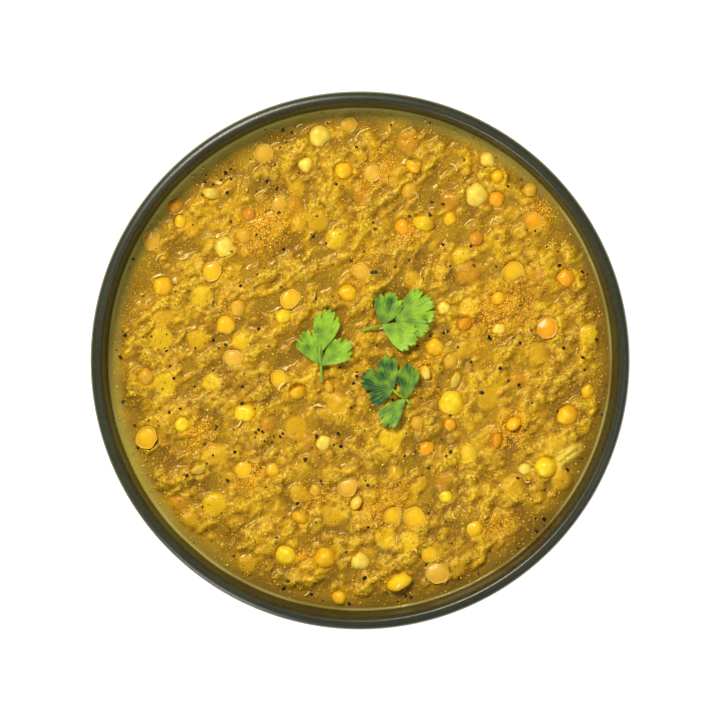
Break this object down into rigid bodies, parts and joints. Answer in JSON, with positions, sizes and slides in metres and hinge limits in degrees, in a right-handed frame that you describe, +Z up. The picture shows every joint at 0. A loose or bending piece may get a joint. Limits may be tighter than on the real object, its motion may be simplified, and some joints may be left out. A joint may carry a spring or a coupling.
{
  "type": "dal in a bowl",
  "caption": "Thick yellow split-pea dal filling a round dark glazed stoneware bowl on a foot ring, with coriander leaves lying on top.",
  "frame": {"origin": "middle of the circle that the foot ring stands on", "axes": "+Z up along the bowl's axis; +Y towards the far side, where the tallest leaf blade points; +X to the right"},
  "size_m": [0.16, 0.16, 0.058],
  "materials": {
    "glaze": "gloss",
    "dal": "satin",
    "coriander": "satin"
  },
  "bodies": {
    "root": {"bowl": "glaze", "dal": "dal", "coriander_leaf_left": "coriander", "coriander_leaf_right": "coriander", "coriander_leaf_front": "coriander"}
  },
  "joints": []
}
